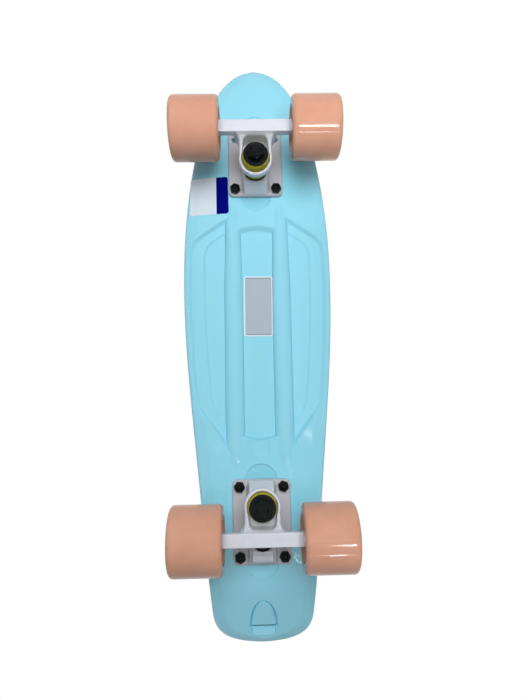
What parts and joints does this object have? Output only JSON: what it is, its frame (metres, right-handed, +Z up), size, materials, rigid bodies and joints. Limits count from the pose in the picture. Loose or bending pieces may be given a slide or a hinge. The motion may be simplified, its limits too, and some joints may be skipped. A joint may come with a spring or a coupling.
{
  "type": "skateboard",
  "caption": "Small plastic cruiser skateboard with a moulded ribbed deck, kicktail, kingpin trucks and wide urethane wheels.",
  "frame": {"origin": "on the ground at the centre of the board's outline, with the board standing on its wheels", "axes": "+Z up from the ground through the deck, +Y along the board towards the narrow nose, +X across the board to the rider's right when facing the nose"},
  "size_m": [0.1566, 0.582, 0.115],
  "materials": {
    "deck_plastic": "glossy injection-moulded plastic, pale aqua",
    "truck_paint": "white powder coat over cast metal",
    "wheel_urethane": "satin cast urethane, peach",
    "bushing_urethane": "satin cast urethane, olive yellow",
    "black_hardware": "black oxide steel, slightly glossy",
    "black_urethane": "matt black urethane",
    "bright_steel": "bright zinc plated or ground steel"
  },
  "bodies": {
    "board": {"deck": "deck_plastic", "front_baseplate": "truck_paint", "front_pivot_cup": "black_urethane", "front_kingpin": "black_hardware", "front_kingpin_nut": "black_hardware", "front_outer_cup_washer": "black_hardware", "front_inner_cup_washer": "black_hardware", "front_outer_bushing": "bushing_urethane", "front_inner_bushing": "bushing_urethane", "front_mounting_bolts": "black_hardware", "front_mounting_nuts": "black_hardware", "rear_baseplate": "truck_paint", "rear_pivot_cup": "black_urethane", "rear_kingpin": "black_hardware", "rear_kingpin_nut": "black_hardware", "rear_outer_cup_washer": "black_hardware", "rear_inner_cup_washer": "black_hardware", "rear_outer_bushing": "bushing_urethane", "rear_inner_bushing": "bushing_urethane", "rear_mounting_bolts": "black_hardware", "rear_mounting_nuts": "black_hardware"},
    "front_truck": {"front_hanger": "truck_paint", "front_axle": "bright_steel", "front_left_inner_races": "bright_steel", "front_left_spacer": "bright_steel", "front_left_speed_washers": "bright_steel", "front_left_axle_nut": "bright_steel", "front_right_inner_races": "bright_steel", "front_right_spacer": "bright_steel", "front_right_speed_washers": "bright_steel", "front_right_axle_nut": "bright_steel"},
    "rear_truck": {"rear_hanger": "truck_paint", "rear_axle": "bright_steel", "rear_left_inner_races": "bright_steel", "rear_left_spacer": "bright_steel", "rear_left_speed_washers": "bright_steel", "rear_left_axle_nut": "bright_steel", "rear_right_inner_races": "bright_steel", "rear_right_spacer": "bright_steel", "rear_right_speed_washers": "bright_steel", "rear_right_axle_nut": "bright_steel"},
    "front_left_roller": {"front_left_wheel": "wheel_urethane", "front_left_outer_races": "bright_steel"},
    "front_left_cage_set": {"front_left_balls": "bright_steel", "front_left_cages": "bright_steel"},
    "front_right_roller": {"front_right_wheel": "wheel_urethane", "front_right_outer_races": "bright_steel"},
    "front_right_cage_set": {"front_right_balls": "bright_steel", "front_right_cages": "bright_steel"},
    "rear_left_roller": {"rear_left_wheel": "wheel_urethane", "rear_left_outer_races": "bright_steel"},
    "rear_left_cage_set": {"rear_left_balls": "bright_steel", "rear_left_cages": "bright_steel"},
    "rear_right_roller": {"rear_right_wheel": "wheel_urethane", "rear_right_outer_races": "bright_steel"},
    "rear_right_cage_set": {"rear_right_balls": "bright_steel", "rear_right_cages": "bright_steel"}
  },
  "joints": [
    {"name": "front_steering", "type": "hinge", "parent": "board", "child": "front_truck", "pos_m": [0, 0.1645, 0.0435], "axis": [0, 0.892, 0.452], "range_deg": [-15, 15], "stiffness_Nm_per_rad": 25, "deforming": ["front_outer_bushing", "front_inner_bushing"]},
    {"name": "rear_steering", "type": "hinge", "parent": "board", "child": "rear_truck", "pos_m": [0, -0.1553, 0.0435], "axis": [0, 0.892, -0.452], "range_deg": [-15, 15], "stiffness_Nm_per_rad": 25, "deforming": ["rear_outer_bushing", "rear_inner_bushing"]},
    {"name": "front_left_wheel_spin", "type": "hinge", "parent": "front_truck", "child": "front_left_roller", "pos_m": [-0.0558, 0.1893, 0.0295], "axis": [1, 0, 0], "continuous": true},
    {"name": "front_left_cage_spin", "type": "hinge", "parent": "front_truck", "child": "front_left_cage_set", "pos_m": [-0.0558, 0.1893, 0.0295], "axis": [1, 0, 0], "continuous": true},
    {"name": "front_right_wheel_spin", "type": "hinge", "parent": "front_truck", "child": "front_right_roller", "pos_m": [0.0558, 0.1893, 0.0295], "axis": [1, 0, 0], "continuous": true},
    {"name": "front_right_cage_spin", "type": "hinge", "parent": "front_truck", "child": "front_right_cage_set", "pos_m": [0.0558, 0.1893, 0.0295], "axis": [1, 0, 0], "continuous": true},
    {"name": "rear_left_wheel_spin", "type": "hinge", "parent": "rear_truck", "child": "rear_left_roller", "pos_m": [-0.0558, -0.1801, 0.0295], "axis": [1, 0, 0], "continuous": true},
    {"name": "rear_left_cage_spin", "type": "hinge", "parent": "rear_truck", "child": "rear_left_cage_set", "pos_m": [-0.0558, -0.1801, 0.0295], "axis": [1, 0, 0], "continuous": true},
    {"name": "rear_right_wheel_spin", "type": "hinge", "parent": "rear_truck", "child": "rear_right_roller", "pos_m": [0.0558, -0.1801, 0.0295], "axis": [1, 0, 0], "continuous": true},
    {"name": "rear_right_cage_spin", "type": "hinge", "parent": "rear_truck", "child": "rear_right_cage_set", "pos_m": [0.0558, -0.1801, 0.0295], "axis": [1, 0, 0], "continuous": true}
  ],
  "couplings": [
    {"joint": "front_left_cage_spin", "follows": "front_left_wheel_spin", "ratio": 0.6323},
    {"joint": "front_right_cage_spin", "follows": "front_right_wheel_spin", "ratio": 0.6323},
    {"joint": "rear_left_cage_spin", "follows": "rear_left_wheel_spin", "ratio": 0.6323},
    {"joint": "rear_right_cage_spin", "follows": "rear_right_wheel_spin", "ratio": 0.6323}
  ]
}
